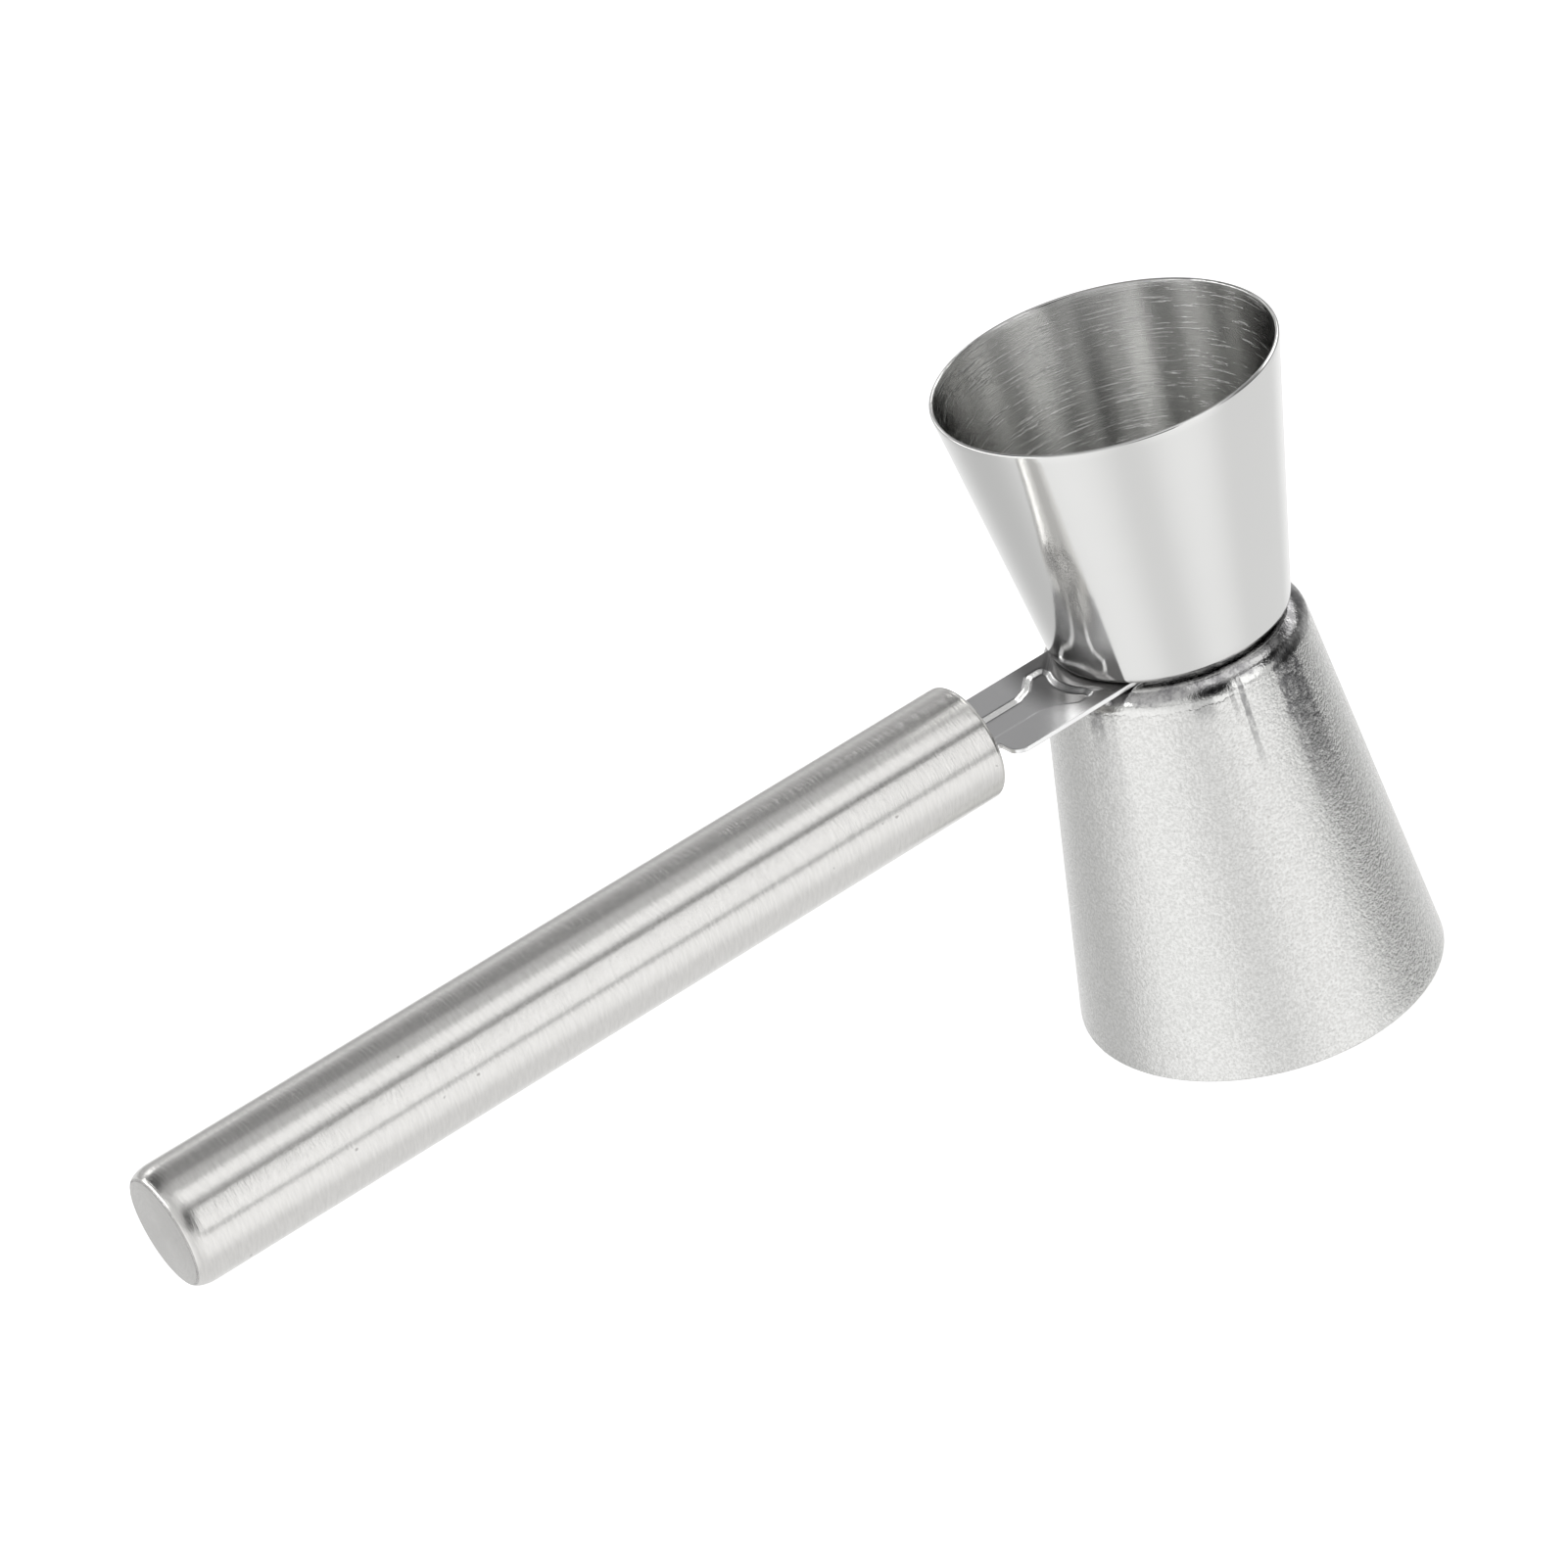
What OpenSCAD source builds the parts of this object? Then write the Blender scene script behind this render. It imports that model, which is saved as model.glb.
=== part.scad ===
// Double bar jigger with a tubular side handle.
// Two sheet-steel cups stand closed end to closed end on a thin neck plate,
// and the neck plate's tang is welded into the slotted front end of the handle.
// The cups share the Z axis, Z = 0 is the rim of the large cup, which opens
// down, and the handle runs along -X.

/* [Small cup] */
// Outer diameter of the small cup at its rim
small_rim_d = 40.5; // [34:0.1:46]
// Outer diameter of the small cup at its closed end
small_base_d = 28.8; // [26:0.1:32]
// Height of the small cup
small_h = 33.7; // [24:0.1:45]
// Outer radius of the bend at the small cup's closed end
small_bend_r = 1.0; // [0.8:0.1:2]

/* [Large cup] */
// Outer diameter of the large cup at its rim
large_rim_d = 44.7; // [38:0.1:52]
// Outer diameter where the flank would meet the closed end in a sharp corner
large_top_d = 31.0; // [28:0.1:34]
// Height of the large cup
large_h = 49.8; // [36:0.1:64]
// Outer radius of the bend at the large cup's closed end
large_bend_r = 3.0; // [2:0.1:3.5]

/* [Cup sheet] */
// Sheet thickness of both cups
cup_wall = 0.5; // [0.4:0.05:0.7]

/* [Neck plate] */
// Thickness of the neck plate
plate_t = 0.6; // [0.5:0.05:0.9]
// Width of the neck plate between the cups and the handle
plate_w = 15.0; // [11:0.1:17]
// Radius of the plate's round tab between the two cups
tab_r = 12.4; // [11:0.1:12.6]
// Distance from the cup axis to the plate's shoulders
shoulder_x = 28.4; // [26:0.1:29.5]
// Radius of the plate's two shoulder corners
corner_r = 1.8; // [0.5:0.1:3]
// Width of the tang that enters the handle
tang_w = 8.0; // [5:0.1:10]
// Length of the tang past the shoulders
tang_len = 8.0; // [4:0.1:14]

/* [Pressed rib of the neck plate] */
// Depth that the stiffening rib is pressed down
rib_depth = 0.5; // [0.2:0.05:0.5]
// Width of the rib's narrow part, beside the handle
rib_w = 4.2; // [2:0.1:5]
// Width of the rib's fishtail end, beside the cups
rib_tail_w = 9.8; // [7:0.1:10]
// Distance from the cup axis to the middle of the rib's hollow end
rib_end_x = 16.4; // [16.2:0.1:18]
// Radius of the rib's hollow end
rib_end_r = 7.0; // [5:0.1:16]

/* [Handle] */
// Outer diameter of the handle tube
handle_d = 14.3; // [11:0.1:18]
// Wall thickness of the handle tube
tube_wall = 0.8; // [0.7:0.05:1.2]
// Distance from the cup axis to the handle's front face
handle_front_x = 30.0; // [29.6:0.1:36]
// Length of the handle
handle_len = 109.4; // [80:0.1:140]
// Height of the handle's axis above the middle of the neck plate's thickness
handle_rise = 0.3; // [-1:0.05:1.5]
// Radius of the rounded edge at both ends of the handle
handle_edge_r = 0.7; // [0.3:0.05:0.7]
// Thickness of the two end caps
cap_t = 1.2; // [0.8:0.1:2]
// Width of the slot in the front cap beyond the tang, both sides together
slot_play = 0.2; // [0.1:0.05:0.4]

/* [Welds] */
// Diameter of the spot-weld nuggets at the waist
nugget_d = 3.0; // [2:0.1:4]
// Distance from the cup axis to each spot weld
nugget_pitch_r = 7.5; // [5:0.1:9]
// Number of spot welds
nugget_count = 3; // [3:1:6]
// Depth of the V-shaped weld between each cap and the tube
seam_depth = 0.3; // [0.2:0.05:0.5]
// Leg of the two fillet welds between the tang and the front cap
tang_bead_leg = 0.7; // [0.4:0.05:0.9]

/* [Hidden] */

// Smoothness of true round surfaces, and steps in a bend of the cup profile
$fn = 96;
bend_steps = 12;

// Heights of the stack, from the large cup's rim up
plate_z = large_h;
small_z = plate_z + plate_t;
plate_mid_z = plate_z + plate_t / 2;
handle_z = plate_mid_z + handle_rise;

// Handle ends and radii
tube_r = handle_d / 2;
bore_r = tube_r - tube_wall;
rear_x = handle_front_x + handle_len;
slot_t = plate_t + slot_play;

// Rib outline: where it starts, where it flares, where the fishtail is widest and where it
// stops, and how far the bulge on the underside spreads past the hollow on top
rib_start_x = -29.0;
rib_flare_x = -21.8;
rib_wide_x = -18.2;
rib_stop_x = -15.4;
rib_skirt = 0.3;

// Points of an arc about [cx, cz] from angle a0 to a1
function arc(cx, cz, r, a0, a1) =
    [for (i = [0:bend_steps]) let (a = a0 + (a1 - a0) * i / bend_steps)
        [cx + r * cos(a), cz + r * sin(a)]];

// Half-section of a conical cup that stands on its closed end at z = 0.
// base_r is the radius of the sharp corner that the bend replaces.
module cup_section(base_r, rim_r, h, bend_r) {
    flare = atan((rim_r - base_r) / h);
    bend_x = base_r - bend_r * (1 - sin(flare)) / cos(flare);
    polygon(concat(
        [[0, 0]],
        arc(bend_x, bend_r, bend_r, -90, -flare),
        [[rim_r, h], [rim_r - cup_wall / cos(flare), h]],
        arc(bend_x, bend_r, bend_r - cup_wall, -flare, -90),
        [[0, cup_wall]]
    ));
}

// Places its children on the centre of each spot weld
module at_each_nugget() {
    for (i = [0:nugget_count - 1])
        rotate([0, 0, i * 360 / nugget_count])
            translate([nugget_pitch_r, 0, 0])
                children();
}

// Through holes for the spot-weld nuggets
module nugget_holes() {
    at_each_nugget()
        translate([0, 0, -1])
            cylinder(d = nugget_d, h = 5);
}

// Turns a shape drawn along +Z so that it runs along -X on the handle axis,
// with its z = 0 at the handle's front face
module on_handle_axis() {
    translate([-handle_front_x, 0, handle_z])
        rotate([0, -90, 0])
            children();
}

module small_cup() {
    color("gainsboro")
        translate([0, 0, small_z])
            difference() {
                rotate_extrude()
                    cup_section(small_base_d / 2, small_rim_d / 2, small_h, small_bend_r);
                nugget_holes();
            }
}

module large_cup() {
    color("silver")
        translate([0, 0, large_h])
            rotate([180, 0, 0])
                difference() {
                    rotate_extrude()
                        cup_section(large_top_d / 2, large_rim_d / 2, large_h, large_bend_r);
                    nugget_holes();
                }
}

// Flat outline of the neck plate: round tab, strip with two rounded shoulders, tang
module plate_outline() {
    circle(r = tab_r);
    translate([corner_r - shoulder_x, -plate_w / 2])
        square([shoulder_x - corner_r, plate_w]);
    translate([-shoulder_x, corner_r - plate_w / 2])
        square([corner_r * 2, plate_w - 2 * corner_r]);
    for (side = [-1, 1])
        translate([corner_r - shoulder_x, side * (plate_w / 2 - corner_r)])
            circle(r = corner_r);
    translate([-shoulder_x - tang_len, -tang_w / 2])
        square([tang_len + corner_r, tang_w]);
}

// Outline of the pressed rib, grown by a margin on every side
module rib_outline(grow) {
    narrow = rib_w / 2 + grow;
    wide = rib_tail_w / 2 + grow;
    difference() {
        polygon([
            [rib_start_x, -narrow], [rib_flare_x, -narrow],
            [rib_wide_x, -wide], [rib_stop_x, -wide],
            [rib_stop_x, wide], [rib_wide_x, wide],
            [rib_flare_x, narrow], [rib_start_x, narrow]
        ]);
        translate([rib_end_r - rib_end_x, 0])
            circle(r = rib_end_r - grow);
    }
}

module neck_plate() {
    color("darkgray")
        translate([0, 0, plate_z])
            difference() {
                union() {
                    linear_extrude(plate_t)
                        plate_outline();
                    translate([0, 0, -rib_depth])
                        linear_extrude(plate_t)
                            rib_outline(rib_skirt);
                }
                translate([0, 0, plate_t - rib_depth])
                    linear_extrude(plate_t)
                        rib_outline(0);
                nugget_holes();
            }
}

// Spot-weld nuggets that join the small cup, the neck plate and the large cup
module waist_weld_nuggets() {
    color("slategray")
        translate([0, 0, plate_z - cup_wall])
            at_each_nugget()
                cylinder(d = nugget_d, h = plate_t + 2 * cup_wall);
}

module handle_tube() {
    color("lightgray")
        on_handle_axis()
            rotate_extrude()
                polygon(concat(
                    [[bore_r, seam_depth], [bore_r + seam_depth / 2, 0]],
                    arc(tube_r - handle_edge_r, handle_edge_r, handle_edge_r, -90, 0),
                    arc(tube_r - handle_edge_r, handle_len - handle_edge_r, handle_edge_r, 0, 90),
                    [[bore_r + seam_depth / 2, handle_len], [bore_r, handle_len - seam_depth]]
                ));
}

// Round cap that closes one end of the tube, outer face at z = 0, with a
// chamfered edge that leaves room for the weld
module cap_blank() {
    rotate_extrude()
        polygon([
            [0, 0], [bore_r - seam_depth / 2, 0], [bore_r, seam_depth],
            [bore_r, cap_t], [0, cap_t]
        ]);
}

// Ring of weld metal in the V between a cap and the tube, ground flush at z = 0
module cap_seam() {
    rotate_extrude()
        polygon([
            [bore_r - seam_depth / 2, 0], [bore_r + seam_depth / 2, 0], [bore_r, seam_depth]
        ]);
}

// Turns a cap or its weld round so that it closes the rear end
module at_rear_end() {
    translate([0, 0, handle_len])
        rotate([180, 0, 0])
            children();
}

module front_cap() {
    color("lightgray")
        on_handle_axis()
            difference() {
                cap_blank();
                translate([-handle_rise - slot_t / 2, -(tang_w + slot_play) / 2, -1])
                    cube([slot_t, tang_w + slot_play, cap_t + 2]);
            }
}

module rear_cap() {
    color("gray")
        on_handle_axis()
            at_rear_end()
                cap_blank();
}

module front_cap_weld() {
    color("dimgray")
        on_handle_axis()
            cap_seam();
}

module rear_cap_weld() {
    color("dimgray")
        on_handle_axis()
            at_rear_end()
                cap_seam();
}

// Two fillet welds, above and below the tang, against the front cap's outer face
module tang_weld_beads() {
    bead_z = plate_t / 2;
    color("slategray")
        translate([-handle_front_x, 0, plate_mid_z])
            for (side = [0, 1])
                mirror([0, 0, side])
                    rotate([90, 0, 0])
                        linear_extrude(tang_w, center = true)
                            polygon([
                                [0, bead_z], [tang_bead_leg, bead_z], [0, bead_z + tang_bead_leg]
                            ]);
}

small_cup();
large_cup();
neck_plate();
waist_weld_nuggets();
handle_tube();
front_cap();
rear_cap();
front_cap_weld();
rear_cap_weld();
tang_weld_beads();
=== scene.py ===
"""Double bar jigger in stainless steel: finished meshes and materials around the CAD frame."""

import math

import bmesh
import bpy
import numpy as np
from mathutils import Matrix, Vector
from mathutils.geometry import delaunay_2d_cdt


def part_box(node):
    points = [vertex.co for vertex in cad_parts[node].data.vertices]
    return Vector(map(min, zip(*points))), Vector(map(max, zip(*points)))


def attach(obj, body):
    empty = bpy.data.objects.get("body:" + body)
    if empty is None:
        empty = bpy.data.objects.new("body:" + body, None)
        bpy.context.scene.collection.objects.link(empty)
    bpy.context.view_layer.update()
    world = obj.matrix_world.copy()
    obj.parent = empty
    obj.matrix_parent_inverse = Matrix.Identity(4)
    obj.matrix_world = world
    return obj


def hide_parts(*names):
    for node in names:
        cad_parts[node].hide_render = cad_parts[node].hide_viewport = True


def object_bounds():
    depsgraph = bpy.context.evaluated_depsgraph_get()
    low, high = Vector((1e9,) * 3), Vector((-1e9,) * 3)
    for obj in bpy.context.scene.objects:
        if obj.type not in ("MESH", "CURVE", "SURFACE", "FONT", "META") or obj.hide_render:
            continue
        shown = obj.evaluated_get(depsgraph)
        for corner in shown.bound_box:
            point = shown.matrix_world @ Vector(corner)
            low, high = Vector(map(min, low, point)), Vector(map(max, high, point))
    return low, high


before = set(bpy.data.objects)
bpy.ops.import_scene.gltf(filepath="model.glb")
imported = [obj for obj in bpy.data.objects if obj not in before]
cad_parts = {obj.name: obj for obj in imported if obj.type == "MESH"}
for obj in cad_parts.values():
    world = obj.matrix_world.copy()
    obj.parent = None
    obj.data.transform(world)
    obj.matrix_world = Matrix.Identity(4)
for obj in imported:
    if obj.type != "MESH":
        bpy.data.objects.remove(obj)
cad_low, cad_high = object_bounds()

MM = 0.001

# ---------------------------------------------------------------- sizes, from the frame

small_low, small_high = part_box("small_cup")
_, large_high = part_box("large_cup")
plate_low, plate_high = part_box("neck_plate")
tube_low, tube_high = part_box("handle_tube")
cap_low, cap_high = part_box("rear_cap")
seam_low, seam_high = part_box("rear_cap_weld")
nuggets_low, nuggets_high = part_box("waist_weld_nuggets")
beads_low, beads_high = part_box("tang_weld_beads")

SHEET = 0.5 * MM                     # wall of both cups
SMALL_RIM_R = small_high.x
SMALL_BASE_R = 14.4 * MM
SMALL_BEND_R = 1.0 * MM
LARGE_RIM_R = large_high.x
LARGE_TOP_R = 15.5 * MM              # where flank and closed end would meet in a sharp corner
LARGE_BEND_R = 3.0 * MM
SMALL_Z = small_low.z                # underside of the small cup
LARGE_TOP_Z = large_high.z           # closed end of the large cup
PLATE_TOP = SMALL_Z
PLATE_T = SMALL_Z - LARGE_TOP_Z
PLATE_HALF_W = 7.5 * MM
PLATE_SHOULDER_X = -28.4 * MM
PLATE_CORNER_R = 1.8 * MM
TANG_HALF_W = 4.0 * MM
TAB_R = 12.4 * MM
RIB_DEPTH = plate_high.z - plate_low.z - PLATE_T
NUGGET_R = 1.5 * MM
NUGGET_RING_R = 7.5 * MM
NUGGETS = 3
TUBE_R = (tube_high.z - tube_low.z) / 2
HANDLE_Z = (tube_high.z + tube_low.z) / 2
FRONT_X = tube_high.x
REAR_X = tube_low.x
BORE_R = (cap_high.z - cap_low.z) / 2
CAP_T = cap_high.x - cap_low.x

TURNS = 240                          # steps round a lathed piece
CLEARANCE = 0.3 * MM                 # least distance of inner mesh points from an outline


# ---------------------------------------------------------------- mesh helpers

def make_object(name, verts, faces, material, node):
    """A smooth-shaded mesh piece that rides on the root and stands for a CAD node."""
    mesh = bpy.data.meshes.new(name)
    bm = bmesh.new()
    made = [bm.verts.new(v) for v in verts]
    for face in faces:
        corners = [made[i] for i in face]
        if len(set(corners)) > 2:
            bm.faces.new(corners)
    bmesh.ops.remove_doubles(bm, verts=bm.verts, dist=1e-7)
    bmesh.ops.recalc_face_normals(bm, faces=bm.faces)
    for face in bm.faces:
        face.smooth = True
    bm.to_mesh(mesh)
    bm.free()
    mesh.materials.append(material)
    obj = bpy.data.objects.new(name, mesh)
    bpy.context.scene.collection.objects.link(obj)
    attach(obj, "root")
    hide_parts(node)
    return obj


def about_z(r, h, angle):
    """A point of a lathed piece on the cup axis."""
    return Vector((r * math.cos(angle), r * math.sin(angle), h))


def about_handle(r, h, angle):
    """A point of a lathed piece on the handle axis; h runs along X."""
    return Vector((h, r * math.cos(angle), HANDLE_Z + r * math.sin(angle)))


def arc(centre, radius, start, stop, steps):
    """Points of an arc in a profile plane, angles in degrees."""
    points = []
    for i in range(steps + 1):
        a = math.radians(start + (stop - start) * i / steps)
        points.append((centre[0] + radius * math.cos(a), centre[1] + radius * math.sin(a)))
    return points


def line(a, b, steps):
    """Points from a to b, without the last."""
    return [(a[0] + (b[0] - a[0]) * i / steps, a[1] + (b[1] - a[1]) * i / steps)
            for i in range(steps)]


def ring_faces(turns, n, closed):
    """Faces between the sections of a ring, each of n points."""
    faces = []
    for j in range(turns):
        a, b = j * n, (j + 1) % turns * n
        for i in range(n if closed else n - 1):
            k = (i + 1) % n
            faces.append((a + i, a + k, b + k, b + i))
    return faces


def lathe(profile, place, closed, turns=TURNS):
    """Vertices and faces of a profile turned about an axis."""
    verts = []
    for j in range(turns):
        angle = 2 * math.pi * j / turns
        verts += [place(r, h, angle) for r, h in profile]
    return verts, ring_faces(turns, len(profile), closed)


def circle(centre, radius, steps, phase=0.0):
    """Points of a circle in the XY plane."""
    return [Vector((centre[0] + radius * math.cos(phase + 2 * math.pi * i / steps),
                    centre[1] + radius * math.sin(phase + 2 * math.pi * i / steps)))
            for i in range(steps)]


def hole_walls(holes, levels, first):
    """Vertices and faces of the walls of holes between two levels, numbered from first."""
    verts, faces = [], []
    for loop in holes:
        start, n = first + len(verts), len(loop)
        verts += [Vector((p.x, p.y, level)) for level in levels for p in loop]
        for i in range(n):
            k = (i + 1) % n
            faces.append((start + i, start + k, start + n + k, start + n + i))
    return verts, faces


def filled(loops, inner_points):
    """Triangles that fill the first loop less the others, through the inner points."""
    points, edges = [], []
    for loop in loops:
        first = len(points)
        points += [Vector(p) for p in loop]
        edges += [(first + i, first + (i + 1) % len(loop)) for i in range(len(loop))]
    points += [Vector(p) for p in inner_points]
    verts, _, faces, _, _, _ = delaunay_2d_cdt(points, edges, [], 2, 1e-7)
    return verts, faces


def inside_loops(point, loops, margin):
    """True if a point is inside the first loop and outside the others, by a margin."""
    for number, loop in enumerate(loops):
        inside, nearest = False, 1.0
        for i, a in enumerate(loop):
            b = loop[(i + 1) % len(loop)]
            if (a.y > point.y) != (b.y > point.y):
                if point.x < (b.x - a.x) * (point.y - a.y) / (b.y - a.y) + a.x:
                    inside = not inside
            nearest = min(nearest, (point - a).length)
        if inside != (number == 0) or nearest < margin:
            return False
    return True


# ---------------------------------------------------------------- camera

CAMERA_AZIMUTH = math.radians(-26.45)
CAMERA_ELEVATION = math.radians(29.77)
CAMERA_ROLL = math.radians(-17.31)
CAMERA_DISTANCE = 0.6057             # metres, as is the aim
CAMERA_AIM = Vector((0.0171, 0.0250, 0.0002))   # from the middle of the CAD box
CAMERA_LENS = 118.76                 # millimetres, as Blender counts lenses and sensors
CAMERA_SENSOR = 36


def make_camera():
    """The camera, at the photograph's angle and distance."""
    a, e, r = CAMERA_AZIMUTH, CAMERA_ELEVATION, CAMERA_ROLL
    back = Vector((math.sin(a) * math.cos(e), -math.cos(a) * math.cos(e), math.sin(e)))
    level = Vector((math.cos(a), math.sin(a), 0))
    upright = back.cross(level)
    right = level * math.cos(r) + upright * math.sin(r)
    up = back.cross(right)
    aim = (cad_low + cad_high) / 2 + CAMERA_AIM
    camera = bpy.data.objects.new("camera", bpy.data.cameras.new("camera"))
    camera.data.sensor_width = CAMERA_SENSOR
    camera.data.lens = CAMERA_LENS
    camera.data.clip_start = 0.01
    camera.data.clip_end = 50
    camera.matrix_world = Matrix((
        (right.x, up.x, back.x, 0), (right.y, up.y, back.y, 0), (right.z, up.z, back.z, 0),
        (0, 0, 0, 1))).copy()
    camera.location = aim + back * CAMERA_DISTANCE
    bpy.context.scene.collection.objects.link(camera)
    bpy.context.scene.camera = camera
    return back


camera_back = make_camera()


# ---------------------------------------------------------------- node helpers

MIX_A, MIX_B, MIX_RESULT = 6, 7, 2   # the mix node's sockets for colours


class Nodes:
    """Short calls for building a node tree."""

    def __init__(self, tree):
        self.tree = tree
        tree.nodes.clear()

    def add(self, kind, **settings):
        node = self.tree.nodes.new(kind)
        for key, value in settings.items():
            setattr(node, key, value)
        return node

    def link(self, source, socket):
        if isinstance(source, bpy.types.NodeSocket):
            self.tree.links.new(source, socket)
        else:
            socket.default_value = source

    def math(self, operation, *values):
        node = self.add("ShaderNodeMath", operation=operation)
        for value, socket in zip(values, node.inputs):
            self.link(value, socket)
        return node.outputs[0]

    def plus(self, a, b):
        return self.math("ADD", a, b)

    def minus(self, a, b):
        return self.math("SUBTRACT", a, b)

    def times(self, a, b):
        return self.math("MULTIPLY", a, b)

    def over(self, a, b):
        return self.math("DIVIDE", a, b)

    def toward(self, a, b, share):
        """a, moved toward b by a share."""
        return self.plus(a, self.times(share, self.minus(b, a)))

    def dimmed(self, value, mask, share):
        """value, less a share of it where the mask is 1."""
        return self.times(value, self.minus(1.0, self.times(mask, share)))

    def vector(self, operation, *values):
        node = self.add("ShaderNodeVectorMath", operation=operation)
        for value, socket in zip(values, node.inputs):
            self.link(value, socket)
        return node.outputs["Value" if operation in ("DOT_PRODUCT", "LENGTH") else "Vector"]

    def smooth(self, value, low, high, out_low=0.0, out_high=1.0):
        node = self.add("ShaderNodeMapRange", interpolation_type="SMOOTHSTEP")
        for item, socket in zip((value, low, high, out_low, out_high), node.inputs):
            self.link(item, socket)
        return node.outputs[0]

    def noise(self, vector, scale, detail=2.0, roughness=0.5):
        node = self.add("ShaderNodeTexNoise")
        self.link(vector, node.inputs["Vector"])
        node.inputs["Scale"].default_value = scale
        node.inputs["Detail"].default_value = detail
        node.inputs["Roughness"].default_value = roughness
        return node.outputs["Fac"]

    def mix(self, factor, a, b):
        node = self.add("ShaderNodeMix", data_type="RGBA")
        self.link(factor, node.inputs["Factor"])
        self.link(a, node.inputs[MIX_A])
        self.link(b, node.inputs[MIX_B])
        return node.outputs[MIX_RESULT]

    def combine(self, x, y, z):
        node = self.add("ShaderNodeCombineXYZ")
        for value, socket in zip((x, y, z), node.inputs):
            self.link(value, socket)
        return node.outputs[0]

    def separate(self, vector):
        node = self.add("ShaderNodeSeparateXYZ")
        self.link(vector, node.inputs[0])
        return node.outputs


# ---------------------------------------------------------------- light tent and floor

# The jigger was lit while it leaned on its rim and the end of its handle, so the tent's
# upright is square to the line through those two points.
lean = math.atan2(tube_low.z, -REAR_X - LARGE_RIM_R)
TENT_UP = Vector((math.sin(lean), 0, math.cos(lean)))
TENT_AWAY = (-camera_back + TENT_UP * camera_back.dot(TENT_UP)).normalized()
TENT_RIGHT = TENT_AWAY.cross(TENT_UP)


def tent_direction(azimuth, elevation):
    """Unit vector: azimuth 0 looks away from the camera and 90 to its right, in degrees."""
    a, e = math.radians(azimuth), math.radians(elevation)
    level = TENT_AWAY * math.cos(a) + TENT_RIGHT * math.sin(a)
    return level * math.cos(e) + TENT_UP * math.sin(e)


# The tent was adjusted until the steel's brightness came close to the photograph's.
# Heights are sines of the elevation. Brightness of its cloth at the table and at WALL_HEIGHT:
FAR_WALL = (0.52, 0.28)
NEAR_WALL = (0.74, 0.60)             # behind the camera
WALL_HEIGHT = 0.75
TURN_FAR, TURN_NEAR = 0.3, -0.7      # cosine from straight away: far above one, near below other
CEILING_HEIGHT = 0.93                # above this the far cloth brightens by up to CEILING_GLOW
CEILING_GLOW = 0.30
TABLE = 0.78
HORIZON_LOW, HORIZON_HIGH = -0.05, -0.01        # where the table turns into the cloth
SEAM_LOW, SEAM_HIGH, SEAM_DARK = 0.01, 0.06, 0.45    # the dark line between them, upper edge
FRAMED_SOFT, PLAIN_SOFT = 0.06, 0.18            # softness of a panel's edge, in its half sizes

# Soft panels: azimuth, elevation, half width, half height (degrees), strength, and how dark
# and how wide (in parts of the panel's half size) the frame round it is
PANELS = (
    (134, 23.5, 15, 21.5, 1.18, 0.45, 0.10),    # right, beside the camera
    (-94, 11, 33, 7, 3.00, 0.0, 0.0),           # left
    (-42, 24, 8, 7, 1.50, 0.0, 0.0),            # left, farther back
    (30, 47, 28, 8, 2.30, 0.0, 0.0),            # back, high
    (150, 68, 24, 12, 1.05, 0.0, 0.0),          # overhead
)
# Pools of light on the table, and one darker spot: azimuth, elevation, spread (degrees), strength
POOLS = (
    (128, -15, 20, 0.28),
    (-142, -40, 22, 0.26),
    (10, -20, 16, 0.18),
    (-60, -34, 17, -0.20),
)
# Dark openings of the tent, and one brighter spot: azimuth, elevation, spread (degrees), depth
OPENINGS = (
    (80, 5, 15, 0.85),
    (162, 23, 15, 0.97),
    (107, 44, 12, 0.92),
    (-80, 35, 15, 0.80),
    (-20, 30, 11, -0.58),
)


GRAZING = 0.02                       # below this cosine from its middle a direction is off a panel
CORNER_POWER = 4.0                   # 2 makes a panel an ellipse, more makes it squarer


def panel_reach(nodes, direction, azimuth, elevation, half_w, half_h):
    """How far a direction is from a panel's middle: 1 is its rounded outline."""
    centre = tent_direction(azimuth, elevation)
    side = centre.cross(TENT_UP).normalized()
    top = side.cross(centre)
    depth = nodes.vector("DOT_PRODUCT", direction, centre)
    reach = 0.0
    for axis, half in ((side, half_w), (top, half_h)):
        along = nodes.over(nodes.vector("DOT_PRODUCT", direction, axis),
                           nodes.math("MAXIMUM", depth, GRAZING))
        scaled = nodes.math("ABSOLUTE", nodes.over(along, math.tan(math.radians(half))))
        reach = nodes.plus(reach, nodes.math("POWER", scaled, CORNER_POWER))
    reach = nodes.math("POWER", reach, 1 / CORNER_POWER)
    off_panel = nodes.math("LESS_THAN", depth, GRAZING)
    return nodes.plus(reach, nodes.times(off_panel, 100.0))


def lobe(nodes, direction, azimuth, elevation, spread):
    """A round soft spot, 1 in its middle."""
    cosine = nodes.vector("DOT_PRODUCT", direction, tent_direction(azimuth, elevation))
    return nodes.smooth(cosine, math.cos(math.radians(2 * spread)), 1.0)


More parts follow.
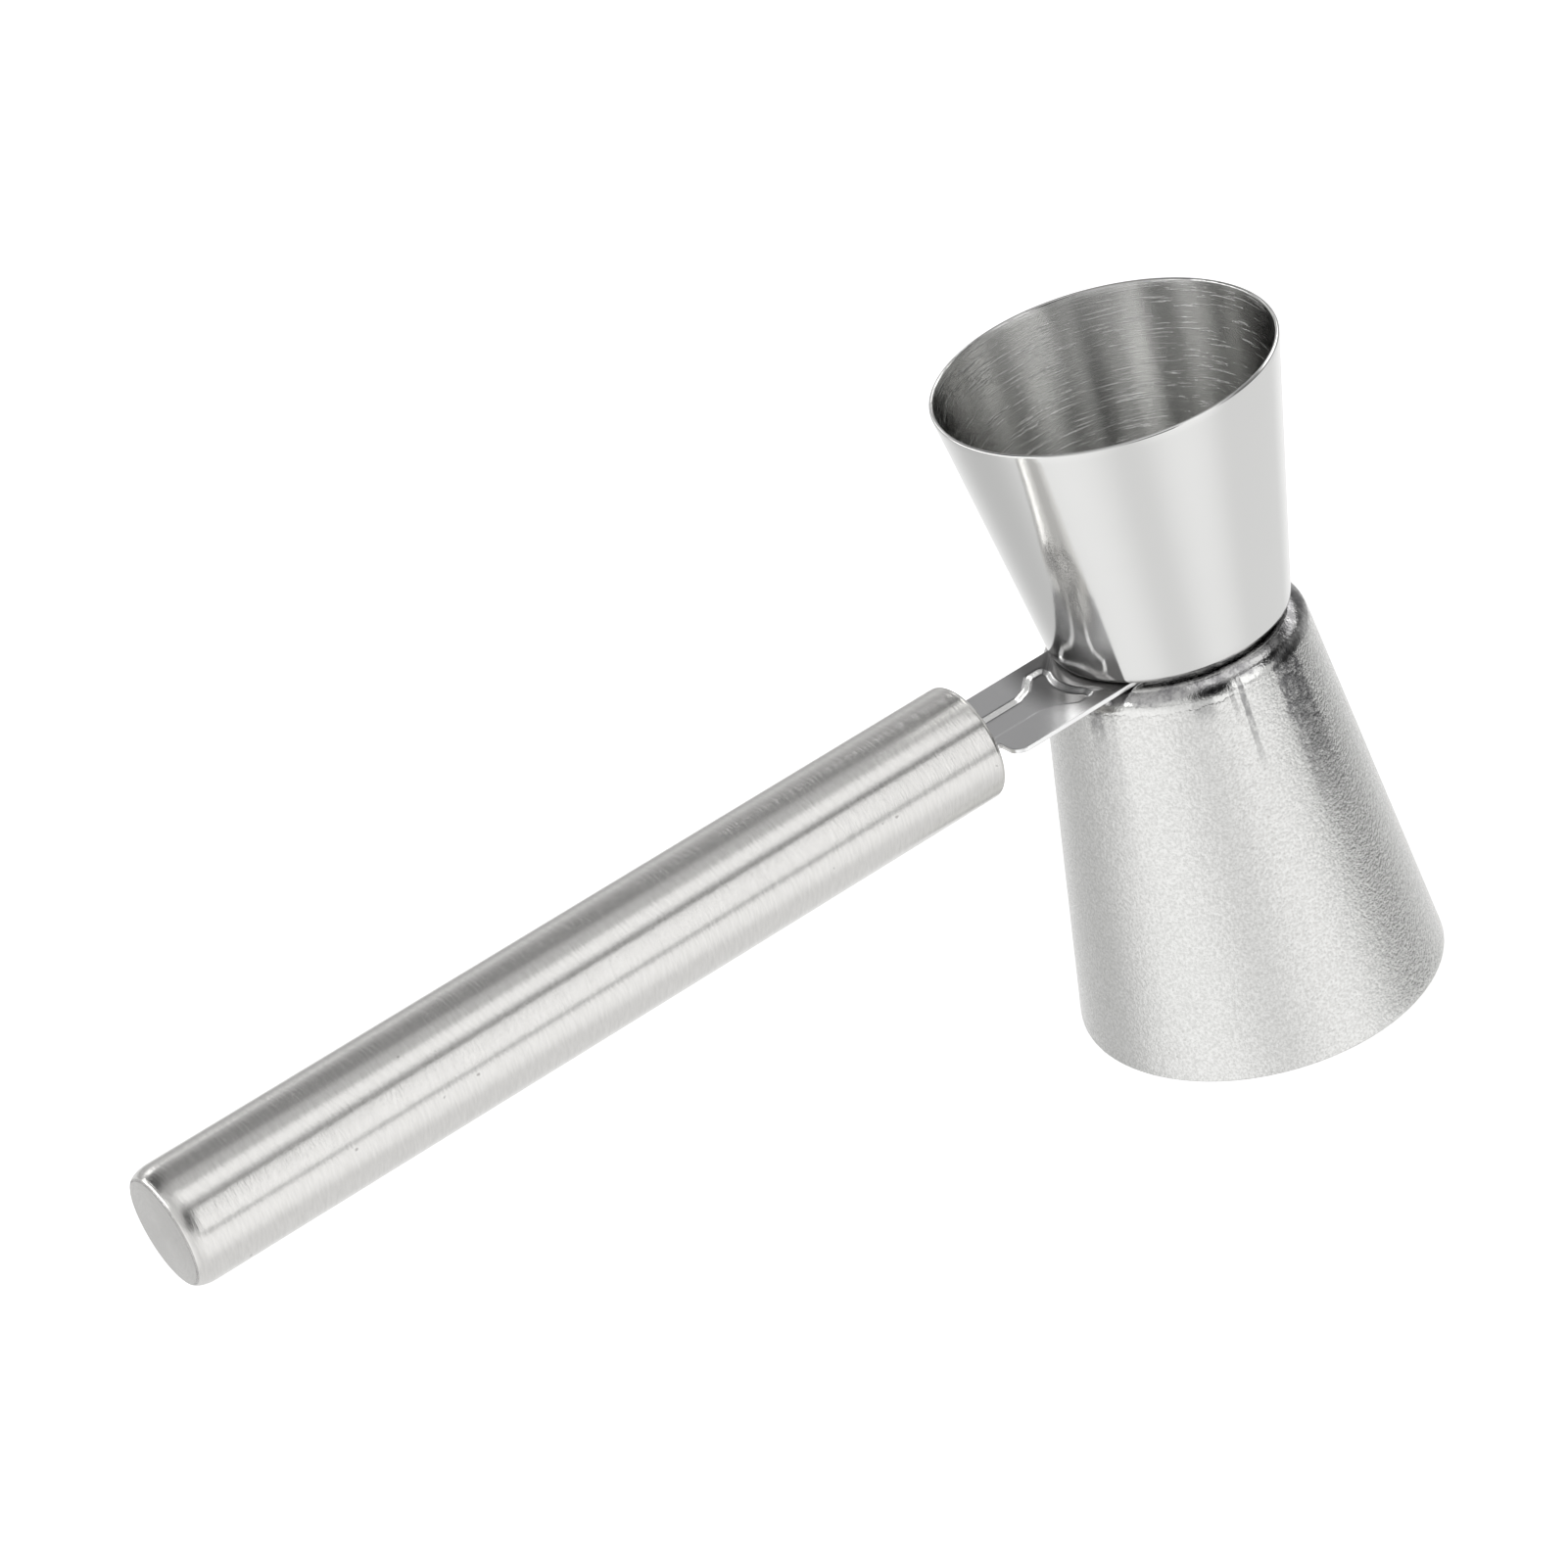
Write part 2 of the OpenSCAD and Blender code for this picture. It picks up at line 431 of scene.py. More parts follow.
def cloth_and_table(nodes, direction):
    """Brightness of the tent's cloth with its openings, and of the table under it."""
    height = nodes.vector("DOT_PRODUCT", direction, TENT_UP)
    away = nodes.vector("DOT_PRODUCT", direction, TENT_AWAY)
    far = nodes.plus(nodes.smooth(height, 0.0, WALL_HEIGHT, *FAR_WALL),
                     nodes.smooth(height, CEILING_HEIGHT, 1.0, 0.0, CEILING_GLOW))
    near = nodes.smooth(height, 0.0, WALL_HEIGHT, *NEAR_WALL)
    cloth = nodes.toward(far, near, nodes.smooth(away, TURN_NEAR, TURN_FAR, 1.0, 0.0))
    for azimuth, elevation, spread, depth in OPENINGS:
        cloth = nodes.dimmed(cloth, lobe(nodes, direction, azimuth, elevation, spread), depth)
    table = TABLE
    for azimuth, elevation, spread, strength in POOLS:
        pool = lobe(nodes, direction, azimuth, elevation, spread)
        table = nodes.plus(table, nodes.times(pool, strength))
    on_table = nodes.smooth(height, HORIZON_LOW, HORIZON_HIGH, 1.0, 0.0)
    seam = nodes.times(nodes.smooth(height, HORIZON_LOW, HORIZON_HIGH),
                       nodes.smooth(height, SEAM_LOW, SEAM_HIGH, 1.0, 0.0))
    return nodes.dimmed(nodes.toward(cloth, table, on_table), seam, SEAM_DARK)


def add_panel(nodes, direction, light, panel):
    """The light with one panel put in front of it, and the dark frame round the panel."""
    azimuth, elevation, half_w, half_h, strength, frame_dark, frame_wide = panel
    reach = panel_reach(nodes, direction, azimuth, elevation, half_w, half_h)
    soft = FRAMED_SOFT if frame_dark else PLAIN_SOFT
    light = nodes.toward(light, strength, nodes.smooth(reach, 1 - soft, 1 + soft, 1.0, 0.0))
    if not frame_dark:
        return light
    middle = 1 + frame_wide / 2
    ring = nodes.times(nodes.smooth(reach, 1 - frame_wide, middle),
                       nodes.smooth(reach, middle, 1 + 2 * frame_wide, 1.0, 0.0))
    return nodes.dimmed(light, ring, frame_dark)


def make_world():
    """The light tent as a function of direction; the camera itself sees plain white."""
    world = bpy.data.worlds.new("tent")
    bpy.context.scene.world = world
    world.use_nodes = True
    nodes = Nodes(world.node_tree)
    direction = nodes.add("ShaderNodeTexCoord").outputs["Generated"]
    light = cloth_and_table(nodes, direction)
    for panel in PANELS:
        light = add_panel(nodes, direction, light, panel)
    seen = nodes.add("ShaderNodeLightPath").outputs["Is Camera Ray"]
    strength = nodes.plus(nodes.times(light, nodes.minus(1.0, seen)), seen)
    background = nodes.add("ShaderNodeBackground")
    background.inputs["Color"].default_value = (1, 1, 1, 1)
    nodes.link(strength, background.inputs["Strength"])
    output = nodes.add("ShaderNodeOutputWorld")
    nodes.link(background.outputs[0], output.inputs["Surface"])


FLOOR_HALF = 6.0                     # metres


def make_floor_material():
    """Pale matt floor that glows a little, so that shadows on it stay faint."""
    material = bpy.data.materials.new("floor")
    material.use_nodes = True
    nodes = Nodes(material.node_tree)
    shader = nodes.add("ShaderNodeBsdfPrincipled")
    shader.inputs["Base Color"].default_value = (0.9, 0.9, 0.9, 1)
    shader.inputs["Roughness"].default_value = 0.9
    shader.inputs["Specular IOR Level"].default_value = 0.0
    shader.inputs["Emission Color"].default_value = (1, 1, 1, 1)
    shader.inputs["Emission Strength"].default_value = 0.60
    output = nodes.add("ShaderNodeOutputMaterial")
    nodes.link(shader.outputs[0], output.inputs["Surface"])
    return material


def make_floor():
    """A square floor under the jigger, which the steel doesn't reflect."""
    mesh = bpy.data.meshes.new("floor")
    signs = ((-1, -1), (1, -1), (1, 1), (-1, 1))
    corners = [(x * FLOOR_HALF, y * FLOOR_HALF, cad_low.z) for x, y in signs]
    mesh.from_pydata(corners, [], [(0, 1, 2, 3)])
    mesh.materials.append(make_floor_material())
    obj = bpy.data.objects.new("floor", mesh)
    bpy.context.scene.collection.objects.link(obj)
    obj.visible_glossy = False


make_world()
make_floor()
bpy.context.scene.view_settings.view_transform = "Standard"


# ---------------------------------------------------------------- steel materials

# Colours of the metal
POLISHED_OUTSIDE = (0.82, 0.82, 0.81, 1)
POLISHED_INSIDE = (0.64, 0.64, 0.63, 1)
POLISHED_SCRATCH = (0.90, 0.90, 0.89, 1)
BLASTED_LIGHT = (0.88, 0.88, 0.865, 1)
BLASTED_DARK = (0.70, 0.70, 0.685, 1)
BLASTED_PEPPER = (0.35, 0.34, 0.33, 1)
BEND_LIGHT = (0.66, 0.655, 0.65, 1)
BEND_DARK = (0.32, 0.315, 0.325, 1)
RUN_DARK = (0.20, 0.20, 0.205, 1)
# Painted shade for one stretch of the large cup's bend
PAINTED_BEND_SHADE_DARK = (0.15, 0.148, 0.15, 1)
PLATE_PLAIN = (0.62, 0.62, 0.625, 1)
# Painted shade on the neck plate beside the small cup
PLATE_PAINTED_SHADE = (0.21, 0.207, 0.207, 1)
# Painted highlight on the neck plate's slopes
PLATE_PAINTED_HIGHLIGHT = (0.95, 0.95, 0.95, 1)
BRUSHED_DARK = (0.77, 0.76, 0.742, 1)
BRUSHED_LIGHT = (0.84, 0.83, 0.812, 1)
PINHOLE_DARK = (0.25, 0.24, 0.23, 1)
WELD_DARK = (0.52, 0.51, 0.50, 1)
WELD_LIGHT = (0.72, 0.71, 0.70, 1)


class Steel(Nodes):
    """Stainless steel: a Principled metal with turned streaks about an axis and a fine grain."""

    def __init__(self, name, axis):
        self.material = bpy.data.materials.new(name)
        self.material.use_nodes = True
        super().__init__(self.material.node_tree)
        self.position = self.add("ShaderNodeTexCoord").outputs["Object"]
        x, y, z = self.separate(self.position)
        self.height = z
        if axis == "Z":
            along, across = z, (x, y)
        else:
            along, across = x, (y, self.minus(z, HANDLE_Z))
        radius = self.vector("LENGTH", self.combine(across[0], across[1], 0.0))
        self.radius = self.math("MAXIMUM", radius, 1e-5)
        self.turn = [self.over(c, self.radius) for c in across]
        self.section = self.plus(along, self.radius)
        self.shader = self.add("ShaderNodeBsdfPrincipled")
        self.shader.inputs["Metallic"].default_value = 1.0
        tangent = self.add("ShaderNodeTangent", direction_type="RADIAL", axis=axis)
        self.link(tangent.outputs[0], self.shader.inputs["Tangent"])
        output = self.add("ShaderNodeOutputMaterial")
        self.link(self.shader.outputs[0], output.inputs["Surface"])

    def streaks(self, round_scale, width, detail=3.0):
        """Noise drawn out round the axis, fine along the section."""
        ring = self.combine(self.times(self.turn[0], round_scale),
                            self.times(self.turn[1], round_scale),
                            self.over(self.section, width))
        return self.noise(ring, 1.0, detail, 0.65)

    def vary(self, base, *parts):
        """base plus each (noise, amount), the noise about its middle."""
        value = base
        for noise, amount in parts:
            value = self.plus(value, self.times(self.minus(noise, 0.5), amount))
        return value

    def bumps(self, *parts):
        """Chains bumps of (height, distance in metres) into the shader's normal."""
        last = None
        for height, distance in parts:
            bump = self.add("ShaderNodeBump")
            bump.inputs["Distance"].default_value = distance
            self.link(height, bump.inputs["Height"])
            if last:
                self.link(last, bump.inputs["Normal"])
            last = bump.outputs[0]
        self.link(last, self.shader.inputs["Normal"])

    def run_mark(self, angle, half_width, top, length, strength):
        """Mask of a ragged mark that runs down from a height and fades."""
        a = math.radians(angle)
        spread = math.radians(half_width) ** 2
        facing = self.plus(self.times(self.turn[0], math.cos(a)),
                           self.times(self.turn[1], math.sin(a)))
        wander = self.times(self.minus(self.noise(self.position, 1500.0, 3.0, 0.7), 0.3),
                           2.4 * spread)
        off = self.minus(self.minus(1.0, facing), wander)
        across = self.smooth(off, 0.0, spread, 1.0, 0.0)
        down = self.smooth(self.height, top - length, top, 0.0, strength)
        ragged = self.smooth(self.noise(self.position, 1100.0, 3.0, 0.7), 0.30, 0.60, 0.35, 1.0)
        return self.times(self.times(across, down), ragged)

    def finish(self, tint, roughness, anisotropy):
        """Sets colour, roughness and anisotropy, and returns the material."""
        self.link(tint, self.shader.inputs["Base Color"])
        self.link(roughness, self.shader.inputs["Roughness"])
        self.shader.inputs["Anisotropic"].default_value = anisotropy
        self.shader.inputs["Anisotropic Rotation"].default_value = 0.25
        return self.material


WALL_MIDDLE = 0.27 * MM              # how deep in the small cup's wall its inside begins


def make_polished():
    """Small cup: mirror-like outside, turned hairlines that are stronger inside."""
    steel = Steel("polished_steel", "Z")
    hair = steel.streaks(9.0, 0.10 * MM, 4.0)
    broad = steel.streaks(1.2, 0.9 * MM, 2.0)
    haze = steel.noise(steel.position, 260.0, 4.0, 0.65)
    flare = (SMALL_RIM_R - SMALL_BASE_R) / (small_high.z - SMALL_Z)
    middle = steel.plus(SMALL_BASE_R - WALL_MIDDLE,
                        steel.times(steel.minus(steel.height, SMALL_Z), flare))
    inside = steel.math("LESS_THAN", steel.radius, middle)
    turned = steel.streaks(4.5, 0.26 * MM, 4.0)
    scratch = steel.times(steel.smooth(turned, 0.56, 0.70), inside)
    rough = steel.vary(0.13, (haze, 0.12), (broad, 0.04))
    rough = steel.plus(rough, steel.times(inside, 0.01))
    rough = steel.plus(rough, steel.times(scratch, 0.08))
    depth = steel.times(hair, steel.plus(0.12, steel.times(inside, 0.50)))
    brush = steel.times(turned, inside)
    steel.bumps((depth, 0.010 * MM), (haze, 0.006 * MM), (brush, 0.012 * MM), (scratch, 0.012 * MM))
    tint = steel.mix(inside, POLISHED_OUTSIDE, POLISHED_INSIDE)
    tint = steel.mix(scratch, tint, POLISHED_SCRATCH)
    return steel.finish(tint, rough, 0.65)


# Dark run marks below the large cup's bend: angle and half width (degrees), length, strength
RUNS = (
    (285.5, 5.6, 24 * MM, 0.95),
    (260, 0.9, 13 * MM, 0.75),
    (255.5, 0.8, 4 * MM, 0.45),
    (243, 3.0, 2.5 * MM, 0.45),
    (198, 4.5, 26 * MM, 0.22),
    (195, 2.4, 4 * MM, 0.60),
)

# Dark stretch of the bend itself, the same four values. It hides a reflection of the back panel
# that the photograph doesn't have.
# This is painted shade: dark colour put on the bend in place of a reflection.
PAINTED_BEND_SHADE = (307, 17, 2.2 * MM, 0.9)


def make_blasted():
    """Large cup: fine blasted grain, with a smoother bend at the waist that darkens raggedly and
    has painted shade on one stretch.
    """
    steel = Steel("blasted_steel", "Z")
    grain = steel.noise(steel.position, 2900.0, 2.0, 0.6)
    coarse = steel.noise(steel.position, 1100.0, 3.0, 0.6)
    clouds = steel.noise(steel.position, 110.0, 4.0, 0.6)
    rag = steel.noise(steel.position, 420.0, 4.0, 0.7)
    bend_foot = LARGE_TOP_Z - LARGE_BEND_R
    edge = steel.vary(bend_foot + 0.2 * MM, (clouds, 3.0 * MM), (rag, 1.6 * MM))
    polished_part = steel.smooth(steel.over(steel.minus(steel.height, edge), MM), -0.15, 0.15)
    crown = steel.vary(bend_foot + 1.5 * MM, (clouds, 2.6 * MM), (rag, 1.4 * MM))
    darkened = steel.smooth(steel.over(steel.minus(steel.height, crown), MM), -0.2, 0.3)
    lower = steel.smooth(steel.height, bend_foot - 14 * MM, bend_foot - 1 * MM)
    rough = steel.vary(0.235, (coarse, 0.10), (clouds, 0.06))
    rough = steel.dimmed(rough, polished_part, 0.5)
    rough = steel.minus(rough, steel.times(lower, 0.03))
    keep = steel.minus(1.0, steel.times(polished_part, 0.6))
    steel.bumps((steel.times(grain, keep), 0.07 * MM), (steel.times(coarse, keep), 0.04 * MM))
    pepper = steel.smooth(steel.noise(steel.position, 1700.0, 1.0, 0.5), 0.72, 0.80)
    speckle = steel.times(steel.smooth(grain, 0.30, 0.70), keep)
    tint = steel.mix(speckle, BLASTED_LIGHT, BLASTED_DARK)
    tint = steel.mix(steel.times(pepper, 0.35), tint, BLASTED_PEPPER)
    for angle, half_width, length, strength in RUNS:
        run = steel.run_mark(angle, half_width, bend_foot, length, strength)
        tint = steel.mix(run, tint, RUN_DARK)
    patches = steel.mix(steel.smooth(rag, 0.35, 0.62), BEND_DARK, BEND_LIGHT)
    tint = steel.mix(darkened, tint, patches)
    # Painted shade over one stretch of the bend.
    angle, half_width, length, strength = PAINTED_BEND_SHADE
    painted_bend_shade = steel.run_mark(angle, half_width, bend_foot + length, length, strength)
    tint = steel.mix(painted_bend_shade, tint, PAINTED_BEND_SHADE_DARK)
    return steel.finish(tint, rough, 0.0)


BY_CUP_NEAR = 3 * MM                 # painted shade: the plate is darkest up to this far from the cup's foot
BY_CUP_FAR = 7.5 * MM                # and plain from here on
SLOPE_STEEP, SLOPE_FLAT = 0.86, 0.97            # upright part of the normal of a slope, of a flat: the painted highlight is full on the one and gone on the other


def make_sheet():
    """Neck plate: rolled sheet. It is darker beside the small cup, to hide a reflection of the
    tent that the photograph doesn't have, and brighter on slopes, to match the rib's highlight."""
    steel = Steel("plate_steel", "Z")
    x, y, z = steel.separate(steel.position)
    rolled = steel.noise(steel.combine(steel.times(x, 150.0), steel.times(y, 9000.0),
                                       steel.times(z, 9000.0)), 1.0, 2.0, 0.6)
    clouds = steel.noise(steel.position, 300.0, 3.0, 0.6)
    steel.bumps((rolled, 0.0006 * MM), (clouds, 0.004 * MM))
    # Painted shade: the plate's colour darkens towards the small cup.
    painted_shade = steel.smooth(steel.radius, SMALL_BASE_R + BY_CUP_NEAR, SMALL_BASE_R + BY_CUP_FAR,
                          1.0, 0.0)
    tint = steel.mix(painted_shade, PLATE_PLAIN, PLATE_PAINTED_SHADE)
    # Painted highlight: slopes of the plate, such as the rib's walls, get a brighter colour.
    normal = steel.add("ShaderNodeTexCoord").outputs["Normal"]
    level = steel.math("ABSOLUTE", steel.separate(normal)[2])
    slope = steel.smooth(level, SLOPE_STEEP, SLOPE_FLAT, 1.0, 0.0)
    tint = steel.mix(slope, tint, PLATE_PAINTED_HIGHLIGHT)
    return steel.finish(tint, steel.vary(0.22, (rolled, 0.04), (clouds, 0.08)), 0.0)


def make_brushed():
    """Handle: brushed round the tube, with a few pinholes."""
    steel = Steel("brushed_steel", "X")
    hair = steel.streaks(3.2, 0.34 * MM, 5.0)
    broad = steel.streaks(0.7, 1.3 * MM, 3.0)
    clouds = steel.noise(steel.position, 160.0, 3.0, 0.6)
    pits = steel.smooth(steel.noise(steel.position, 1200.0, 0.0, 0.5), 0.86, 0.90)
    rough = steel.vary(0.21, (hair, 0.16), (broad, 0.06), (clouds, 0.05))
    steel.bumps((hair, 0.034 * MM), (broad, 0.012 * MM))
    tint = steel.mix(steel.smooth(hair, 0.3, 0.7), BRUSHED_DARK, BRUSHED_LIGHT)
    tint = steel.mix(steel.times(pits, 0.5), tint, PINHOLE_DARK)
    return steel.finish(tint, rough, 0.65)


def make_welded(name, axis):
    """Weld metal: duller, with small ripples."""
    steel = Steel(name, axis)
    ripple = steel.noise(steel.position, 2200.0, 3.0, 0.6)
    clouds = steel.noise(steel.position, 500.0, 3.0, 0.6)
    steel.bumps((ripple, 0.02 * MM), (clouds, 0.02 * MM))
    tint = steel.mix(clouds, WELD_DARK, WELD_LIGHT)
    return steel.finish(tint, steel.vary(0.26, (ripple, 0.15), (clouds, 0.10)), 0.0)


polished = make_polished()
blasted = make_blasted()
sheet = make_sheet()
brushed = make_brushed()
welded = make_welded("weld_steel", "Z")


# ---------------------------------------------------------------- cups

BOTTOM_R = 11.0 * MM                 # where a cup's flat closed end meets its lathed part
BOTTOM_RINGS = 9                     # rings of mesh points across that end


def nugget_centres():
    """Middles of the spot welds, evenly round the cup axis."""
    return [(NUGGET_RING_R * math.cos(2 * math.pi * i / NUGGETS),
             NUGGET_RING_R * math.sin(2 * math.pi * i / NUGGETS)) for i in range(NUGGETS)]


def cup_profile(base_r, rim_r, height, bend_r):
    """Section of a cup that stands on its closed end, from the end's underside round the
    rim to its inner face."""
    flare = math.atan2(rim_r - base_r, height)
    bend_x = base_r - bend_r * (1 - math.sin(flare)) / math.cos(flare)
    flare_deg = math.degrees(flare)
    lip = SHEET / 2 / math.cos(flare)
    lip_z = height - SHEET / 2
    lip_x = rim_r - lip - math.tan(flare) * SHEET / 2
    outer_bend = arc((bend_x, bend_r), bend_r, -90, -flare_deg, 14)
    inner_bend = arc((bend_x, bend_r), bend_r - SHEET, -flare_deg, -90, 12)
    lip_arc = arc((lip_x, lip_z), SHEET / 2, -flare_deg, 180 - flare_deg, 12)
    points = line((BOTTOM_R, 0), outer_bend[0], 6) + outer_bend[:-1]
    points += line(outer_bend[-1], lip_arc[0], 40) + lip_arc[:-1]
    points += line(lip_arc[-1], inner_bend[0], 40) + inner_bend[:-1]
    points += line(inner_bend[-1], (BOTTOM_R, SHEET), 6) + [(BOTTOM_R, SHEET)]
    return points


def make_cup(name, profile, place_z, flip, material, node):
    """A cup: lathed wall and a flat closed end with a hole at each spot weld."""
    sign = -1 if flip else 1

    def place(r, h, angle):
        return about_z(r, place_z + sign * h, angle)

    verts, faces = lathe(profile, place, closed=False)
    loops = [circle((0, 0), BOTTOM_R, TURNS)]
    loops += [circle(c, NUGGET_R, 32) for c in nugget_centres()]
    rings = [p for k in range(1, BOTTOM_RINGS)
             for p in circle((0, 0), BOTTOM_R * k / BOTTOM_RINGS, 8 * k)
             if inside_loops(p, loops, CLEARANCE)]
    flat, triangles = filled(loops, rings)
    levels = (place_z, place_z + sign * SHEET)
    for level in levels:
        first = len(verts)
        verts += [Vector((p.x, p.y, level)) for p in flat]
        faces += [tuple(first + i for i in t) for t in triangles]
    wall_verts, wall_faces = hole_walls(loops[1:], levels, len(verts))
    make_object(name, verts + wall_verts, faces + wall_faces, material, node)


small_profile = cup_profile(SMALL_BASE_R, SMALL_RIM_R, small_high.z - SMALL_Z, SMALL_BEND_R)
large_profile = cup_profile(LARGE_TOP_R, LARGE_RIM_R, LARGE_TOP_Z, LARGE_BEND_R)
make_cup("small_cup_shell", small_profile, SMALL_Z, False, polished, "small_cup")
make_cup("large_cup_shell", large_profile, LARGE_TOP_Z, True, blasted, "large_cup")


# ---------------------------------------------------------------- neck plate

EDGE = 0.12 * MM                     # rounding of the plate's sheared edge
EDGE_STEPS = 4
SHOULDER_STEP = 0.4 * MM             # from the corner of shoulder and tang to the next points
RIB_HALF_W = 2.1 * MM                # pressed rib: half width of its narrow part
RIB_TAIL_HALF_W = 4.9 * MM           # and of its fishtail
RIB_START_X = -29.0 * MM
RIB_FLARE_X = -21.2 * MM             # where it begins to widen, and where it is widest
RIB_WIDE_X = -17.4 * MM
RIB_KNEE_X = RIB_FLARE_X + 2 * MM    # the flare's first, slower stretch ends here
RIB_KNEE_HALF_W = RIB_HALF_W + 0.9 * MM
RIB_STOP_X = -15.4 * MM
RIB_END_R = 7.0 * MM                 # radius of the hollow end
RIB_END_X = -16.4 * MM
RIB_SKIRT = 0.3 * MM                 # how much wider the bulge below is than the hollow on top
RIB_PITCH = 0.05 * MM                # grid of the pressed shape
RIB_ROUND = 7                        # half width of its sloping walls, in grid steps
RIB_MARGIN = 2 * MM                  # how far that grid reaches past the rib
RIB_MESH = 0.14 * MM                 # spacing of the sheet's points round the rib
MESH_BEFORE, MESH_AFTER, MESH_BESIDE = 0.7 * MM, 0.5 * MM, 0.8 * MM    # and their reach past it


def plate_loop():
    """Outline of the neck plate, counterclockwise: tab, strip, shoulders, tang."""
    meet = math.acos(-math.sqrt(TAB_R ** 2 - PLATE_HALF_W ** 2) / TAB_R)
    upper = arc((0, 0), TAB_R, 0, math.degrees(meet), 60)[:-1]
    corner = (PLATE_SHOULDER_X + PLATE_CORNER_R, PLATE_HALF_W - PLATE_CORNER_R)
    bend = arc(corner, PLATE_CORNER_R, 90, 180, 14)
    upper += line((TAB_R * math.cos(meet), PLATE_HALF_W), bend[0], 40) + bend
    upper += [(PLATE_SHOULDER_X, TANG_HALF_W + SHOULDER_STEP), (PLATE_SHOULDER_X, TANG_HALF_W)]
    upper += line((PLATE_SHOULDER_X - SHOULDER_STEP, TANG_HALF_W),
                  (plate_low.x + EDGE * 2, TANG_HALF_W), 16)
    upper += [(plate_low.x, TANG_HALF_W), (plate_low.x, TANG_HALF_W / 2)]
    lower = [(x, -y) for x, y in reversed(upper[1:])]
    return [Vector(p) for p in upper + [(plate_low.x, 0)] + lower]


def inset(loop, distance):
    """The loop moved inward by a distance."""
    moved = []
    for i, point in enumerate(loop):
        before = (point - loop[i - 1]).normalized()
        after = (loop[(i + 1) % len(loop)] - point).normalized()
        normals = [Vector((-d.y, d.x)) for d in (before, after)]
        middle = (normals[0] + normals[1]).normalized()
        moved.append(point + middle * distance / max(middle.dot(normals[0]), 0.5))
    return moved


def rib_field(grow):
    """Grid of the pressed shape, 1 inside its outline grown by a margin, with rounded walls."""
    xs = np.arange(RIB_START_X - RIB_MARGIN, RIB_STOP_X + RIB_MARGIN, RIB_PITCH)
    ys = np.arange(-RIB_TAIL_HALF_W - RIB_MARGIN, RIB_TAIL_HALF_W + RIB_MARGIN, RIB_PITCH)
    x, y = np.meshgrid(xs, ys, indexing="ij")
    half = np.interp(x, (RIB_FLARE_X, RIB_KNEE_X, RIB_WIDE_X),
                     (RIB_HALF_W, RIB_KNEE_HALF_W, RIB_TAIL_HALF_W)) + grow
    inside = (np.abs(y) < half) & (x > RIB_START_X) & (x < RIB_STOP_X)
    inside &= np.hypot(x - RIB_END_X - RIB_END_R, y) > RIB_END_R - grow
    field = inside.astype(float)
    steps = np.arange(-2 * RIB_ROUND, 2 * RIB_ROUND + 1)
    kernel = np.tanh((steps + RIB_ROUND) / 2) - np.tanh((steps - RIB_ROUND) / 2)
    kernel /= kernel.sum()
    for axis in (0, 1):
        field = np.apply_along_axis(np.convolve, axis, field, kernel, mode="same")
    return xs[0], ys[0], field


def sample(field, x, y):
    """Value of a rib field at a point, 0 outside its grid."""
    x0, y0, grid = field
    u, v = (x - x0) / RIB_PITCH, (y - y0) / RIB_PITCH
    i, j = int(u), int(v)
    if u < 0 or v < 0 or i >= grid.shape[0] - 1 or j >= grid.shape[1] - 1:
        return 0.0
    a, b = u - i, v - j
    return float((grid[i, j] * (1 - b) + grid[i, j + 1] * b) * (1 - a)
                 + (grid[i + 1, j] * (1 - b) + grid[i + 1, j + 1] * b) * a)


def rib_points():
    """Grid of mesh points over the pressed area that stay clear of the plate's outline."""
    long_steps = int((RIB_STOP_X - RIB_START_X + MESH_BEFORE + MESH_AFTER) / RIB_MESH)
    wide_steps = int((RIB_TAIL_HALF_W + MESH_BESIDE) / RIB_MESH)
    points = []
    for i in range(long_steps):
        for j in range(-wide_steps, wide_steps + 1):
            p = Vector((RIB_START_X - MESH_BEFORE + i * RIB_MESH, j * RIB_MESH))
            if p.x > PLATE_SHOULDER_X + CLEARANCE or abs(p.y) < TANG_HALF_W - CLEARANCE:
                points.append(p)
    return points


def edge_section():
    """Rounded edge of the plate from its top round to its underside: (inset, height)."""
    section = []
    for i in range(EDGE_STEPS + 1):
        a = math.radians(90 * i / EDGE_STEPS)
        section.append((EDGE * (1 - math.sin(a)), PLATE_TOP - EDGE * (1 - math.cos(a))))
    return section + [(d, LARGE_TOP_Z + PLATE_TOP - z) for d, z in reversed(section)]


def make_neck_plate():
    """The pressed sheet: top, underside and rounded edge, with a hole at each spot weld."""
    outline = plate_loop()
    holes = [circle(c, NUGGET_R, 24) for c in nugget_centres()]
    support = inset(outline, EDGE * 2)
    flat, triangles = filled([inset(outline, EDGE)] + holes, rib_points() + support)
    verts, faces = [], []
    for level, field in ((PLATE_TOP, rib_field(0.0)), (LARGE_TOP_Z, rib_field(RIB_SKIRT))):
        first = len(verts)
        verts += [Vector((p.x, p.y, level - RIB_DEPTH * sample(field, p.x, p.y))) for p in flat]
        faces += [tuple(first + i for i in t) for t in triangles]
    section = edge_section()
    first, n = len(verts), len(outline)
    for distance, z in section:
        verts += [Vector((p.x, p.y, z)) for p in inset(outline, distance)]
    for k in range(len(section) - 1):
        a, b = first + k * n, first + (k + 1) * n
        faces += [(a + i, a + (i + 1) % n, b + (i + 1) % n, b + i) for i in range(n)]
    wall_verts, wall_faces = hole_walls(holes, (PLATE_TOP, LARGE_TOP_Z), len(verts))
    verts += wall_verts
    faces += wall_faces
    plate = make_object("neck_plate_pressed", verts, faces, sheet, "neck_plate")
    plate.modifiers.new("even shading", "WEIGHTED_NORMAL").weight = 60


make_neck_plate()


# ---------------------------------------------------------------- handle

